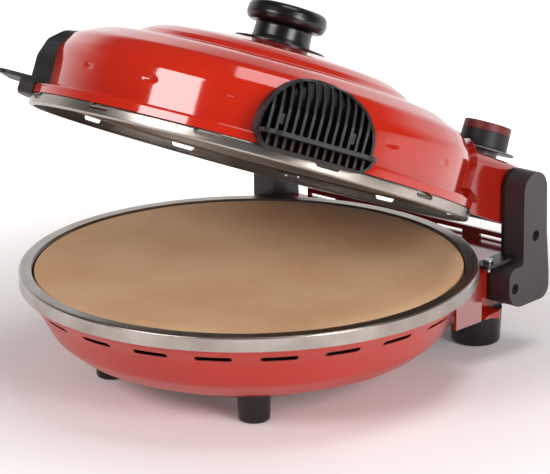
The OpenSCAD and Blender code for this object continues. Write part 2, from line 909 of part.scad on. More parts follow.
module lid_rim_ring() {
    line = open_path([
        [lid_rim_r - 4, lid_low, 0],
        [lid_rim_r, lid_low, 2],
        [lid_rim_r, band_top, 1.8],
        [liner_r + sheet_t + 1, band_top, 0]
    ]);
    color("silver") lid_part() difference() {
        turned(sheet(line, sheet_t));
        for (i = [0:rim_slots - 1]) {
            from_front(i * 360 / rim_slots - rim_slot_turn)
                slot_cut(rim_slot_w, rim_slot_h, lid_rim_r - 2, rim_slot_z, 4);
        }
    }
}

liner_line = open_path([
    [lid_rim_r - 4, band_top - 2 * sheet_t, 0],
    [liner_r, band_top - 2 * sheet_t, 2],
    [liner_r - 5, liner_roof_z, 14],
    [0, liner_roof_z, 0]
]);

module lid_reflector() {
    color("lightgray") lid_part() difference() {
        turned(sheet(liner_line, -sheet_t));
        for (side = [-1, 1]) {
            translate([side * heater_leg_x, up_loop_r, up_heater_z]) rotate([-90, 0, 0])
                cylinder(d = heater_d + 2, h = 90);
        }
    }
}

module upper_heater() {
    color("darkslategray") lid_part() heater(up_loop_r, up_heater_z, up_leg_y);
}

module upper_heater_clips() {
    color("silver") lid_part() for (a = [-120, -40, 40, 120]) {
        from_front(a) heater_clip(up_loop_r, up_heater_z, liner_roof_z);
    }
}

// ---- Lid housing ----

module lid_box(t) {
    front = dome_wall_r - 60;
    intersection() {
        across(loop([
            [front, lid_box_z - (t > 0 ? over : 0), 0],
            [lid_box_back - t, lid_box_z - (t > 0 ? over : 0), t > 0 ? 0 : 2],
            [lid_box_back - t, lid_box_top - t, 13 - t],
            [front, lid_box_top - t, 0]
        ]), lid_box_x - t);
        translate([0, lid_box_back, 0]) rotate([90, 0, 0]) linear_extrude(lid_box_back)
            polygon(loop([
                [lid_box_x - t, 0, 0],
                [lid_box_x - t, lid_box_top - t, 9 - t],
                [-lid_box_x + t, lid_box_top - t, 9 - t],
                [-lid_box_x + t, 0, 0]
            ]));
    }
}

module lid_housing() {
    color("firebrick") lid_part() difference() {
        lid_box(0);
        lid_box(housing_t);
        turned(concat(
            [[0, 0], [dome_wall_r, 0]],
            [for (p = dome_line) if (p[0] <= dome_wall_r) p]
        ));
        cylinder(r = lid_rim_r + fit_gap, h = band_top + fit_gap);
        both_sides() bar_x(bracket_x, lid_box_x + over, bush_r, pivot_y, pivot_z);
        timer_axis() cylinder(d = shaft_d + 1, h = timer_top);
    }
}

module lid_housing_cover() {
    t = housing_t;
    inside = lid_box_x - housing_t;
    color("dimgray") lid_part() difference() {
        translate([-inside, 0, lid_box_z]) cube([2 * inside, lid_box_back - housing_t, t]);
        translate([0, 0, lid_box_z - over]) cylinder(r = lid_rim_r + fit_gap, h = t + 2 * over);
        translate([-lid_box_x, 0, 0]) cube([2 * lid_box_x, bracket_foot_y - 4, crown_z]);
        for (x = [-60:15:60]) {
            translate([x - 2, lid_box_back - 14, 0]) cube([4, 8, crown_z]);
        }
    }
}

// A steel plate inside the housing's side wall that carries the hinge bush
module hinge_brackets() {
    color("silver") lid_part() both_sides() difference() {
        union() {
            translate([bracket_x, 0, 0]) rotate([90, 0, 90]) linear_extrude(bracket_t)
                polygon(loop([
                    [bracket_back, lid_box_z + 6, 3],
                    [bracket_back, pivot_z + 8, 6],
                    [pivot_y - 6, pivot_z + 9.5, 4],
                    [bracket_foot_y - 16, pivot_z + 8, 3],
                    [bracket_foot_y - 16, lid_box_z + 12, 3]
                ]));
            translate([bracket_x + bracket_t - bracket_foot_w, bracket_foot_y, bracket_foot_z])
                cube([bracket_foot_w, bracket_back - 2 - bracket_foot_y, bracket_t]);
            translate([bracket_x, bracket_foot_y, bracket_foot_z])
                cube([bracket_t, bracket_back - 2 - bracket_foot_y, 12]);
        }
        bar_x(bracket_x - over, lid_box_x, bush_r, pivot_y, pivot_z);
        dome_space();
    }
}

module hinge_bushes() {
    color("goldenrod") lid_part() both_sides() difference() {
        union() {
            bar_x(bracket_x, lid_box_x, bush_r, pivot_y, pivot_z);
            bar_x(pin_start_x + 0.4, bracket_x, bush_r + 3, pivot_y, pivot_z);
        }
        bar_x(pin_start_x - over, arm_x, pin_d / 2 + pin_clear, pivot_y, pivot_z);
        // the bush's flange is flat behind, where the back wall keeps it from turning
        translate([0, lid_box_back - housing_t - fit_gap, 0]) cube(2 * lid_rim_r);
    }
}

module friction_washers() {
    color("gray") lid_part() both_sides() difference() {
        bar_x(lid_box_x, between_arms_x - 0.1, bush_r + 4, pivot_y, pivot_z);
        bar_x(lid_box_x - over, arm_x, pin_d / 2 + pin_clear, pivot_y, pivot_z);
    }
}

// ---- Side grips ----

// The D-shaped outline of a grip, drawn in by t
function grip_outline(t) =
    let(w = grip_half_w - t, h = grip_top - grip_mid_z - t, r = 12 - t, low = grip_low + t)
    concat(
        [for (a = [0:10:180]) [w * cos(a), grip_mid_z + h * sin(a)]],
        [for (a = [180:15:270]) [-w + r + r * cos(a), low + r + r * sin(a)]],
        [for (a = [270:15:360]) [w - r + r * cos(a), low + r + r * sin(a)]]
    );

module grip_prism(t) {
    translate([dome_wall_r - 40, 0, 0]) rotate([90, 0, 90]) linear_extrude(80)
        polygon(grip_outline(t));
}

dome_side = [for (p = dome_line) if (p[1] >= flange_top && p[0] <= dome_wall_r
    && p[1] <= grip_top + 3) p];

// Outside of the grip seen from the side, with its lower block drawn in by t
function grip_face(t) = open_path([
    [grip_low_r - 1.5 - t, grip_low - over, 0],
    [grip_low_r - t, grip_low + 3, 2],
    [grip_low_r - t, tongue_z, 0],
    [grip_r - t, tongue_z + 1, 0],
    [grip_r - t, grip_mid_z + 13, 10],
    [grip_r - 5 - t, grip_top - 14, 8],
    [grip_r - 16.5 - t, grip_top - 3.5, 10],
    [grip_r - 34 - t, grip_top - 1, 0]
]);
lid_side = concat(
    [[lid_rim_r + fit_gap, grip_low - over], [lid_rim_r + fit_gap, flange_top]],
    dome_side
);

module grip_frame() {
    intersection() {
        turned(concat(lid_side, backward(grip_face(0))));
        difference() {
            grip_prism(0);
            grip_prism(grip_wall);
        }
    }
}

module grip_back() {
    back_t = 2;
    intersection() {
        turned(sheet([for (p = lid_side) if (p[1] > grip_low) p], -back_t));
        grip_prism(0.5);
    }
}

// One upright bar at distance u from the grip's middle
function at_bar(line, u) = [for (p = line) [sqrt(p[0] * p[0] - u * u), p[1]]];
module grip_bar(u) {
    high = grip_mid_z + (grip_top - grip_mid_z - 1) * sqrt(1 - pow(u / grip_half_w, 2));
    intersection() {
        translate([0, u + louvre_t / 2, 0]) rotate([90, 0, 0]) linear_extrude(louvre_t)
            polygon(concat(at_bar([for (p = lid_side) p + [1, 0]], u),
                backward(at_bar(grip_face(0.6), u))));
        translate([0, u - louvre_t, grip_low + 1])
            cube([2 * lid_rim_r, 2 * louvre_t, high - grip_low - 1]);
    }
}

module grip_tongue() {
    tip = grip_half_w - 1.5;
    translate([0, 0, tongue_z]) linear_extrude(tongue_t) polygon(loop([
        [dome_wall_r - 3.6, -tip + 2, 0],
        [dome_wall_r + 10, -tip, 4],
        [tongue_r, -tip, 16],
        [tongue_r, tip, 16],
        [dome_wall_r + 10, tip, 4],
        [dome_wall_r - 3.6, tip - 2, 0]
    ]));
}

module grip() {
    pitch = 2 * (grip_half_w - grip_wall) / (louvres + 1);
    from_front(grip_angle) difference() {
        union() {
            grip_frame();
            grip_back();
            for (i = [1:louvres]) {
                grip_bar(-grip_half_w + grip_wall + i * pitch);
            }
            difference() {
                grip_tongue();
                turned(concat([[0, 0]], lid_side, [[0, grip_top]]));
            }
            for (u = [-26, 26]) {
                grip_boss(u);
            }
        }
        for (u = [-26, 26]) {
            translate([0, u, grip_mid_z + 6]) rotate([0, 90, 0])
                cylinder(d = screw_d, h = dome_wall_r + 6);
        }
    }
}

module grip_boss(u) {
    start = sqrt(pow(dome_wall_r + 1, 2) - u * u);
    translate([start, u, grip_mid_z + 6]) rotate([0, 90, 0]) cylinder(d = screw_d + 4, h = 9);
}

module grip_right() {
    color("black") lid_part() grip();
}

module grip_left() {
    color("black") lid_part() mirror([1, 0, 0]) grip();
}

module grip_screws() {
    inside = dome_wall_r - shell_t;
    color("silver") lid_part() both_sides() from_front(grip_angle) for (u = [-26, 26]) {
        translate([sqrt(inside * inside - u * u) - 1.2, u, grip_mid_z + 6]) rotate([0, 90, 0])
            screw(8, head_h = 1.6);
    }
}

// ---- Top knob ----

module knob_flange() {
    color("black") lid_part() difference() {
        translate([0, 0, crown_z]) turned(loop([
            [0, 0, 0],
            [knob_flange_d / 2, 0, 0],
            [knob_flange_d / 2, knob_base_z - crown_z, 0.8],
            [0, knob_base_z - crown_z, 0]
        ]));
        cylinder(d = screw_d + 1, h = knob_top);
    }
}

module top_knob() {
    neck_r = knob_neck_d / 2;
    disc_r = knob_d / 2;
    disc_z = knob_base_z + 13.7;
    color("black") lid_part() difference() {
        turned(loop([
            [0, knob_base_z, 0],
            [neck_r + 1, knob_base_z, 1],
            [neck_r, knob_base_z + 4, 4],
            [neck_r - 0.6, disc_z, 2],
            [disc_r - 2, disc_z, 6],
            [disc_r, disc_z + 6, 6],
            [disc_r - 1.4, knob_top - 1.2, 8],
            [disc_r - 12, knob_top, 20],
            [0, knob_top, 0]
        ]));
        cylinder(d = screw_d + 1, h = knob_base_z + 18);
    }
}

module knob_screw() {
    color("silver") lid_part() translate([0, 0, crown_z - shell_t])
        screw(knob_base_z - crown_z + 16, screw_d + 1, 3);
}

// ---- Timer ----

module timer_axis() {
    translate([timer_x, timer_y, 0]) children();
}

module timer_unit() {
    color("ivory") lid_part() timer_axis() difference() {
        union() {
            translate([0, 0, timer_can_top - timer_can_h])
                cylinder(r = timer_can_r, h = timer_can_h - timer_neck_h);
            translate([0, 0, timer_can_top - timer_neck_h - over])
                cylinder(r = timer_neck_r, h = timer_neck_h + over);
            translate([-4, -timer_can_r - 3, timer_can_top - 18]) cube([8, 6, 10]);
        }
        translate([0, 0, shaft_low - 0.2]) cylinder(r = shaft_d / 2 + pin_clear, h = crown_z);
    }
}

module timer_bracket() {
    color("silver") lid_part() difference() {
        timer_axis() translate([-timer_can_r - 10, -timer_can_r - 4, timer_can_top])
            cube([2 * timer_can_r + 20, 2 * timer_can_r + 3, bracket_gap]);
        timer_axis() cylinder(d = shaft_d + 1, h = timer_top);
        difference() {
            cube(3 * lid_rim_r, center = true);
            lid_box(housing_t);
        }
    }
}

module dial_plate() {
    color("gray") lid_part() timer_axis() difference() {
        union() {
            translate([0, 0, lid_box_top + dial_up]) cylinder(d = dial_d, h = dial_t);
            translate([0, 0, lid_box_top]) cylinder(d = dial_d / 2, h = dial_up);
        }
        cylinder(d = shaft_d + 1, h = timer_top);
    }
}

module lid_wiring() {
    can_y = timer_y - timer_can_r - 3;
    wire_z = timer_can_top - 13;
    end = up_leg_y + 6;
    color("white") lid_part() {
        lead([
            [timer_x - 2, can_y, wire_z],
            [timer_x - 2, can_y - 1, wire_z],
            [timer_x - 8, can_y - 4, wire_z],
            [timer_x - 22, can_y, wire_z],
            [heater_leg_x + 12, end + 3, up_heater_z],
            [heater_leg_x + 4, end + 5, up_heater_z],
            [heater_leg_x, end + 1, up_heater_z],
            [heater_leg_x, end, up_heater_z]
        ], 2.4);
        lead([
            [timer_x + 2, can_y, wire_z - 4],
            [timer_x + 2, can_y - 1, wire_z - 4],
            [timer_x - 4, can_y - 4, wire_z - 8],
            [timer_x - 24, can_y, wire_z - 14],
            [heater_leg_x, end, wire_z - 16],
            [-heater_leg_x + 12, end + 3, wire_z - 14],
            [-heater_leg_x + 4, end + 5, up_heater_z - 3],
            [-heater_leg_x, end + 2, up_heater_z],
            [-heater_leg_x, end, up_heater_z]
        ], 2.4);
    }
}

module timer_shaft() {
    color("silver") lid_part() timer_axis() translate([0, 0, shaft_low])
        cylinder(d = shaft_d, h = timer_body_top - 3 - shaft_low);
}

module timer_knob() {
    r = timer_d / 2;
    color("black") lid_part() timer_axis() difference() {
        turned(loop([
            [0, timer_low, 0],
            [r, timer_low, 0.8],
            [r - 0.5, timer_body_top, 0],
            [0, timer_body_top, 0]
        ]));
        cylinder(d = shaft_d, h = timer_body_top - 3);
    }
}

module timer_knob_cap() {
    r = timer_d / 2 - 0.5;
    color("firebrick") lid_part() timer_axis() turned(loop([
        [0, timer_body_top, 0],
        [r, timer_body_top, 0],
        [r - 0.2, timer_top, 1],
        [0, timer_top, 0]
    ]));
}

base_bowl();
base_rim_ring();
base_housing();
base_bottom_cover();
front_feet();
rear_feet();
foot_screws();
deck_screws();
arm_right();
arm_left();
arm_plate_right();
arm_plate_left();
arm_screws();
hinge_pins();
lower_reflector();
lower_heater();
lower_heater_clips();
terminal_block();
cord_gland();
thermal_cutout();
base_wiring();
baking_stone();
lid_rim_ring();
lid_dome();
lid_housing();
lid_housing_cover();
hinge_brackets();
hinge_bushes();
friction_washers();
lid_reflector();
upper_heater();
upper_heater_clips();
grip_right();
grip_left();
grip_screws();
knob_flange();
top_knob();
knob_screw();
timer_unit();
timer_bracket();
dial_plate();
lid_wiring();
timer_shaft();
timer_knob();
timer_knob_cap();
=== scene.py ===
import math

import bmesh
import bpy
import numpy as np
from mathutils import Matrix, Vector


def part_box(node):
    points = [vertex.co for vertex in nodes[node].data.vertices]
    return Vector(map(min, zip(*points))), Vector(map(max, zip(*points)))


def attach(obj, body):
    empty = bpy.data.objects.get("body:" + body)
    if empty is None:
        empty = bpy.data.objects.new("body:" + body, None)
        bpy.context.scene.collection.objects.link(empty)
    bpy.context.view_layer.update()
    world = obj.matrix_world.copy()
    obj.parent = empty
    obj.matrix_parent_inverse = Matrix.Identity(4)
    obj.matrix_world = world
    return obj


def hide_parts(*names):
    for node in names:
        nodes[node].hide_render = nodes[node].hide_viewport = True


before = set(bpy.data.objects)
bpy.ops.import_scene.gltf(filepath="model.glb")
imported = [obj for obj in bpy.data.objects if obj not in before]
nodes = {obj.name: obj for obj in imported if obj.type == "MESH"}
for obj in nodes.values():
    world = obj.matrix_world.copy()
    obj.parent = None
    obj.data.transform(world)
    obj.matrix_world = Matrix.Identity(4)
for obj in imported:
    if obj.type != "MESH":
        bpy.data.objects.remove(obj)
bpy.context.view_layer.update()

# ---- Camera ----
# A long lens looks down on the cooker from its right front corner, at the photograph's
# angle. The frame is 550 x 474, and the picture's middle is the lens's middle.
FRAME_PX = (550, 474)
LENS_PX = 3000
SENSOR = 0.036
LOOK_FROM = math.radians(41.36)
LOOK_DOWN = math.radians(17.54)
TILT = math.radians(-0.606)
stone_low, stone_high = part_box("baking_stone")
STONE_MIDDLE = (stone_low + stone_high) / 2
CAMERA_FROM_STONE = Vector((1.442, -1.60777, 0.78839))

back = Vector((
    math.sin(LOOK_FROM) * math.cos(LOOK_DOWN),
    -math.cos(LOOK_FROM) * math.cos(LOOK_DOWN),
    math.sin(LOOK_DOWN),
))
level = Vector((math.cos(LOOK_FROM), math.sin(LOOK_FROM), 0))
upward = back.cross(level)
right = level * math.cos(TILT) + upward * math.sin(TILT)
top = upward * math.cos(TILT) - level * math.sin(TILT)
camera_data = bpy.data.cameras.new("camera")
camera_data.sensor_width = SENSOR * 1000
camera_data.lens = LENS_PX * SENSOR * 1000 / FRAME_PX[0]
camera_data.clip_start = 0.05
camera = bpy.data.objects.new("camera", camera_data)
place = Matrix((right, top, back)).transposed().to_4x4()
place.translation = Vector((STONE_MIDDLE.x, STONE_MIDDLE.y, 0)) + CAMERA_FROM_STONE
camera.matrix_world = place
bpy.context.scene.collection.objects.link(camera)
bpy.context.scene.camera = camera

# ---- Studio: floor, world and lamps ----
# A pale floor that keeps the soft shadow, and a white surround that the camera and the gloss see.
# For camera and glossy rays the floor also glows, faintly near the cooker and strongly far from
# it: painted light that lifts the far floor to white and leaves a painted shade round the cooker.
# The lamps are three soft boxes: in front, to the right and overhead.
GLOW_NEAR, GLOW_FAR = 0.2, 0.6
GLOW_LOW, GLOW_HIGH = 0.08, 0.7
FLOOR_SIZE = 9.0
FLOOR_DROP = 0.0003


def colour(code):
    """An sRGB hex colour as linear red, green, blue and 1."""
    parts = [int(code[i:i + 2], 16) / 255 for i in (1, 3, 5)]
    return [p / 12.92 if p <= 0.04045 else ((p + 0.055) / 1.055) ** 2.4 for p in parts] + [1]


def add_node(tree, kind, settings=None, **links):
    """Adds a node, with its settings, and its inputs as values or as links from sockets."""
    node = tree.nodes.new(kind)
    for name, value in (settings or {}).items():
        setattr(node, name, value)
    for name, value in links.items():
        key = int(name[1:]) if name[0] == "_" and name[1:].isdigit() else name.replace("_", " ")
        if isinstance(value, bpy.types.NodeSocket):
            tree.links.new(value, node.inputs[key])
        else:
            node.inputs[key].default_value = value
    return node


def new_tree(name):
    """A new material and its empty node tree."""
    material = bpy.data.materials.new(name)
    material.use_nodes = True
    material.node_tree.nodes.clear()
    return material, material.node_tree


def finish_tree(tree, shader):
    """Sends a shader to the material's output."""
    add_node(tree, "ShaderNodeOutputMaterial", Surface=shader)


floor_stuff, tree = new_tree("floor_paper")
rays = add_node(tree, "ShaderNodeLightPath")
paper = add_node(tree, "ShaderNodeBsdfDiffuse", Color=colour("#f4eded"))
where = add_node(tree, "ShaderNodeTexCoord")
away = add_node(tree, "ShaderNodeVectorMath", {"operation": "LENGTH"},
                _0=where.outputs["Object"])
# painted glow: weak within GLOW_NEAR of the middle and full beyond GLOW_FAR, so the floor round
# the cooker keeps a painted shade
glow = add_node(tree, "ShaderNodeMapRange", {"interpolation_type": "SMOOTHSTEP"},
                Value=away.outputs["Value"], From_Min=GLOW_NEAR, From_Max=GLOW_FAR,
                To_Min=GLOW_LOW, To_Max=GLOW_HIGH)
lift = add_node(tree, "ShaderNodeEmission", Color=colour("#ffffff"), Strength=glow.outputs[0])
none = add_node(tree, "ShaderNodeEmission", Strength=0.0)
camera_or_gloss = add_node(tree, "ShaderNodeMath", {"operation": "MAXIMUM"},
                           _0=rays.outputs["Is Camera Ray"], _1=rays.outputs["Is Glossy Ray"])
seen = add_node(tree, "ShaderNodeMixShader", _0=camera_or_gloss.outputs[0],
                _1=none.outputs[0], _2=lift.outputs[0])
both = add_node(tree, "ShaderNodeAddShader", _0=paper.outputs[0], _1=seen.outputs[0])
finish_tree(tree, both.outputs[0])
floor_mesh = bpy.data.meshes.new("floor")
half = FLOOR_SIZE / 2
floor_mesh.from_pydata([(-half, -half, 0), (half, -half, 0), (half, half, 0), (-half, half, 0)],
                       [], [(0, 1, 2, 3)])
floor = bpy.data.objects.new("floor", floor_mesh)
floor.location.z = -FLOOR_DROP
floor_mesh.materials.append(floor_stuff)
bpy.context.scene.collection.objects.link(floor)

# white paper hangs behind the cooker, and the rest of the room is dimmer
PAPER_SIDE = (-0.55, 0.8, 0.0)
PAPER_FULL, PAPER_END = 0.3, 0.6
PAPER_EDGE = 0.7
ROOM_LIGHT = 0.24
ROOM_GLOSS = 0.1
world = bpy.data.worlds.new("studio")
world.use_nodes = True
bpy.context.scene.world = world
tree = world.node_tree
tree.nodes.clear()
rays = add_node(tree, "ShaderNodeLightPath")
clear = add_node(tree, "ShaderNodeMath", {"operation": "MAXIMUM"},
                 _0=rays.outputs["Is Camera Ray"], _1=rays.outputs["Is Transmission Ray"])
around = add_node(tree, "ShaderNodeTexCoord")
behind = add_node(tree, "ShaderNodeVectorMath", {"operation": "DOT_PRODUCT"},
                  _0=around.outputs["Generated"], _1=PAPER_SIDE)
height = add_node(tree, "ShaderNodeSeparateXYZ", Vector=around.outputs["Generated"])
paper_top = add_node(tree, "ShaderNodeMapRange", {"interpolation_type": "SMOOTHSTEP"},
                     Value=height.outputs[2], From_Min=PAPER_FULL, From_Max=PAPER_END,
                     To_Min=1.0, To_Max=0.0)
paper_wide = add_node(tree, "ShaderNodeMapRange", {"interpolation_type": "SMOOTHSTEP"},
                      Value=behind.outputs["Value"], From_Min=0.0, From_Max=PAPER_EDGE,
                      To_Min=0.0, To_Max=1.0)
paper_seen = add_node(tree, "ShaderNodeMath", {"operation": "MULTIPLY_ADD"},
                      _0=paper_top.outputs[0], _1=paper_wide.outputs[0], _2=ROOM_GLOSS)
dim = add_node(tree, "ShaderNodeBackground", Color=colour("#ffffff"), Strength=ROOM_LIGHT)
mirrored = add_node(tree, "ShaderNodeBackground", Color=colour("#ffffff"),
                    Strength=paper_seen.outputs[0])
white = add_node(tree, "ShaderNodeBackground", Color=colour("#ffffff"), Strength=1.0)
glossed = add_node(tree, "ShaderNodeMixShader", _0=rays.outputs["Is Glossy Ray"],
                   _1=dim.outputs[0], _2=mirrored.outputs[0])
mixed = add_node(tree, "ShaderNodeMixShader", _0=clear.outputs[0], _1=glossed.outputs[0],
                 _2=white.outputs[0])
add_node(tree, "ShaderNodeOutputWorld", Surface=mixed.outputs[0])


def soft_box(name, at, aim, size, watts):
    """A rectangular area lamp at a point, aimed at another."""
    lamp = bpy.data.lights.new(name, "AREA")
    lamp.shape = "RECTANGLE"
    lamp.size, lamp.size_y = size
    lamp.energy = watts
    box = bpy.data.objects.new(name, lamp)
    box.location = at
    box.rotation_mode = "QUATERNION"
    box.rotation_quaternion = (Vector(aim) - Vector(at)).to_track_quat("-Z", "Y")
    bpy.context.scene.collection.objects.link(box)


MIDDLE = Vector((0, 0, 0.12))
soft_box("front_box", (-0.23, -1.89, 1.3), MIDDLE, (1.0, 0.6), 21)
soft_box("right_box", (1.9, -0.3, 0.8), MIDDLE, (0.7, 0.9), 22)
soft_box("top_box", (0.5, 0.3, 2.3), MIDDLE, (1.0, 1.0), 14)

# ---- Base bowl ----
# A deep-drawn steel bowl with a baked-on satin enamel. It has a ring of vent slots round
# its shoulder and carries the whole base. Its flange is held under the rim ring.
MM = 0.001
BASE_PLACE = Matrix.Translation((STONE_MIDDLE.x, STONE_MIDDLE.y, 0))


def corner(before, at, after, radius, step=6):
    """The points of a rounded corner between two straight runs."""
    u, v = (before - at).normalized(), (after - at).normalized()
    half_turn = math.acos(max(-1, min(1, u.dot(v)))) / 2
    if radius <= 0 or half_turn > math.radians(89.5):
        return [at]
    reach = min(radius / math.tan(half_turn), 0.49 * (before - at).length,
                0.49 * (after - at).length)
    radius = reach * math.tan(half_turn)
    middle = at + (u + v).normalized() * radius / math.sin(half_turn)
    first, last = at + u * reach - middle, at + v * reach - middle
    start = math.atan2(first.y, first.x)
    sweep = math.atan2(last.y, last.x) - start
    sweep = (sweep + math.pi) % (2 * math.pi) - math.pi
    steps = max(2, math.ceil(abs(math.degrees(sweep)) / step))
    return [middle + radius * Vector((math.cos(start + sweep * i / steps),
                                      math.sin(start + sweep * i / steps)))
            for i in range(steps + 1)]


def line_of(path, step=6):
    """An open path of (radius, height, corner radius) in millimetres, as points."""
    flat = [Vector(p[:2]) for p in path]
    points = [flat[0]]
    for i in range(1, len(path) - 1):
        points += corner(flat[i - 1], flat[i], flat[i + 1], path[i][2], step)
    return points + [flat[-1]]


def beside(line, t):
    """The line at distance t to the left of another."""
    made = []
    for i, p in enumerate(line):
        a = (line[max(i, 1)] - line[max(i, 1) - 1]).normalized()
        b = (line[min(i + 1, len(line) - 1)] - line[min(i, len(line) - 2)]).normalized()
        m = (a + b).normalized()
        made.append(p + Vector((-m.y, m.x)) * t / m.dot(a))
    return made


def sheet_of(path, t, step=6):
    """The closed section of a sheet of thickness t whose outside is the path."""
    line = line_of(path, step)
    return line + beside(line, t)[::-1]


def refine(section, longest):
    """Splits the long sides of a closed section, so that its faces stay near square."""
    made = []
    for a, b in zip(section, section[1:] + section[:1]):
        parts = max(1, math.ceil((b - a).length / longest))
        made += [a.lerp(b, i / parts) for i in range(parts)]
    return made


def turn(name, section, sides=256, place=None):
    """Turns a closed section in millimetres about the vertical axis through the stone."""
    mesh = bmesh.new()
    rings = []
    for p in section:
        if p.x < 1e-4:
            rings.append([mesh.verts.new((0, 0, p.y * MM))])
            continue
        rings.append([mesh.verts.new((p.x * MM * math.cos(2 * math.pi * k / sides),
                                      p.x * MM * math.sin(2 * math.pi * k / sides), p.y * MM))
                      for k in range(sides)])
    for a, b in zip(rings, rings[1:] + rings[:1]):
        if len(a) == 1 and len(b) == 1:
            continue
        for k in range(sides):
            n = (k + 1) % sides
            if len(a) == 1:
                mesh.faces.new((a[0], b[n], b[k]))
            elif len(b) == 1:
                mesh.faces.new((a[k], a[n], b[0]))
            else:
                mesh.faces.new((a[k], a[n], b[n], b[k]))
    bmesh.ops.recalc_face_normals(mesh, faces=mesh.faces)
    return as_object(name, mesh, place or BASE_PLACE)


def as_object(name, mesh, place):
    """A smooth-shaded object from a bmesh, set in its place."""
    data = bpy.data.meshes.new(name)
    mesh.to_mesh(data)
    mesh.free()
    data.transform(place)
    made = bpy.data.objects.new(name, data)
    bpy.context.scene.collection.objects.link(made)
    data.shade_smooth()
    return made


def crisp(piece, angle=32):
    """Keeps edges over an angle sharp on a smooth-shaded piece."""
    split = piece.modifiers.new("crisp", "EDGE_SPLIT")
    split.split_angle = math.radians(angle)


def cut(piece, cutter):
    """Cuts one mesh out of another and drops the cutter."""
    tool = piece.modifiers.new("cut", "BOOLEAN")
    tool.operation = "DIFFERENCE"
    tool.solver = "EXACT"
    tool.object = cutter
    bpy.context.view_layer.update()
    graph = bpy.context.evaluated_depsgraph_get()
    data = bpy.data.meshes.new_from_object(piece.evaluated_get(graph))
    piece.modifiers.clear()
    piece.data = data
    bpy.data.objects.remove(cutter)


def slot_cutter(places, length, height, radius, z, depth, place):
    """Rounded slots through a wall of a radius, at angles counted from the front."""
    mesh = bmesh.new()
    side = []
    run = (length - height) / 2
    for k in range(25):
        a = math.pi * k / 24 - math.pi / 2
        side.append((run + height / 2 * math.cos(a), height / 2 * math.sin(a)))
    outline = side + [(-u, -v) for u, v in side]
    for angle in places:
        spin = Matrix.Rotation(math.radians(angle - 90), 4, "Z")
        ends = [[mesh.verts.new(spin @ Vector((r * MM, u * MM, (z + v) * MM)))
                 for u, v in outline] for r in (radius - depth, radius + depth)]
        mesh.faces.new(ends[0][::-1])
        mesh.faces.new(ends[1])
        for k in range(len(outline)):
            n = (k + 1) % len(outline)
            mesh.faces.new((ends[0][k], ends[0][n], ends[1][n], ends[1][k]))
    bmesh.ops.recalc_face_normals(mesh, faces=mesh.faces)
    return as_object("cutter", mesh, place)


def wear_tree(name, base, other, share, patch_mm):
    """A material tree with a base colour that drifts a little towards another."""
    material, tree = new_tree(name)
    where = add_node(tree, "ShaderNodeTexCoord")
    cloud = add_node(tree, "ShaderNodeTexNoise", Vector=where.outputs["Object"],
                     Scale=1 / (patch_mm * MM), Detail=3.0)
    amount = add_node(tree, "ShaderNodeMapRange", Value=cloud.outputs["Fac"], From_Min=0.35,
                      From_Max=0.65, To_Min=0.0, To_Max=share)
    tint = add_node(tree, "ShaderNodeMix", {"data_type": "RGBA"}, _0=amount.outputs[0],
                    _6=colour(base), _7=colour(other))
    return material, tree, where, tint.outputs[2]


def grain(tree, where, size_mm, height_mm, detail=2.0):
    """A bump of grains of a size and height."""
    noise = add_node(tree, "ShaderNodeTexNoise", Vector=where.outputs["Object"],
                     Scale=1 / (size_mm * MM), Detail=detail)
    return add_node(tree, "ShaderNodeBump", Height=noise.outputs["Fac"], Strength=1.0,
                    Distance=height_mm * MM).outputs[0]


def wear(piece, material, body, slot, *hidden):
    """Gives a made piece its material and its body, and hides the parts that it stands for. The
    slot argument is not used.
    """
    piece.data.materials.clear()
    piece.data.materials.append(material)
    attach(piece, body)
    if hidden:
        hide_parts(*hidden)


# Baked enamel on pressed steel: a deep red with a satin skin and a faint orange peel.
bowl_enamel, tree, where, tint = wear_tree("bowl_enamel", "#C02710", "#B01F0B", 0.6, 60)
paint = add_node(tree, "ShaderNodeBsdfPrincipled", Base_Color=tint, Roughness=0.34, IOR=1.5,
                 Coat_Weight=0.35, Coat_Roughness=0.2,
                 Normal=grain(tree, where, 2.2, 0.012))
finish_tree(tree, paint.outputs[0])

RIM_R, RIM_TOP, RIM_BAND = 174, 86.7, 10.8
BOWL_LIP_R = 172.6
SHELL_T = 1.2
bowl_path = [
    (0, 9.5, 0), (88, 9.5, 30), (137, 29.5, 20), (150.5, 41, 16), (162.3, 63, 4),
    (BOWL_LIP_R - 3.4, 71.3, 3), (BOWL_LIP_R, RIM_TOP - RIM_BAND, 2), (BOWL_LIP_R, 84.7, 1.5),
    (166.3, 84.7, 0),
]
bowl = turn("bowl", refine(sheet_of(bowl_path, SHELL_T), 9), 300)
BOWL_SLOTS = [i * 360 / 22 for i in range(-6, 7)]
BOWL_SLOT_W, BOWL_SLOT_H, BOWL_SLOT_Z = 27, 4.2, 67.3
cut(bowl, slot_cutter(BOWL_SLOTS, BOWL_SLOT_W, BOWL_SLOT_H, 165.3, BOWL_SLOT_Z, 14, BASE_PLACE))
crisp(bowl)
wear(bowl, bowl_enamel, "base", "red_enamel", "base_bowl")

# ---- Base rim ring ----
# A spun ring of bare stainless steel that clips over the bowl's flange. Its flat top was
# brushed while it turned, so the fine lines run round it.


